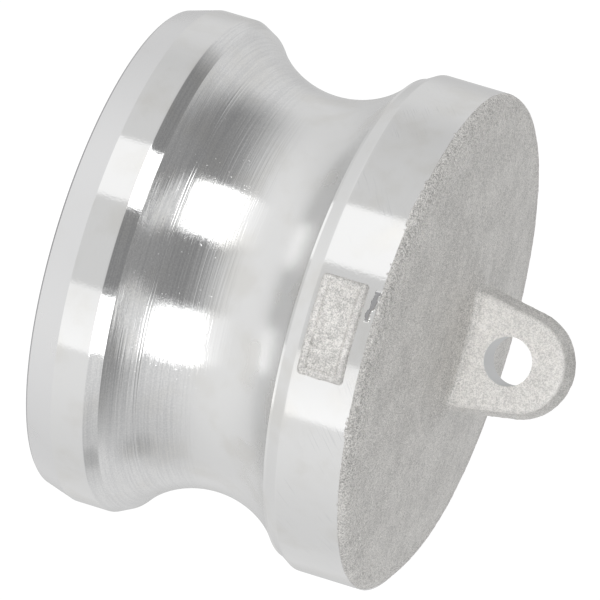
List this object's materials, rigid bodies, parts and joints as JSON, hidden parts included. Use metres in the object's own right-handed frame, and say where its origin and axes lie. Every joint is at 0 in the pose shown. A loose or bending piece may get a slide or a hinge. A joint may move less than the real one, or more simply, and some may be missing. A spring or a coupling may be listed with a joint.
{
  "type": "camlock dust plug",
  "caption": "Turned aluminium dust plug with a round cam groove, a hollow nose, a domed cast back and a drilled lug, for closing a 2 inch cam-and-groove coupler.",
  "frame": {"origin": "centre of the open nose face, on the turning axis, where the plug stands on a surface", "axes": "+Z along the turning axis from the nose to the domed back and its lug; the lug's flat sides face -Y and +Y; the raised tablet on the collar is on the -Y side"},
  "size_m": [0.0632, 0.0636, 0.0593],
  "materials": {
    "aluminium": "bare aluminium, lathe-turned nose, groove and collar, as-cast back, lug and tablet"
  },
  "bodies": {
    "root": {"plug_casting": "aluminium"}
  },
  "joints": []
}
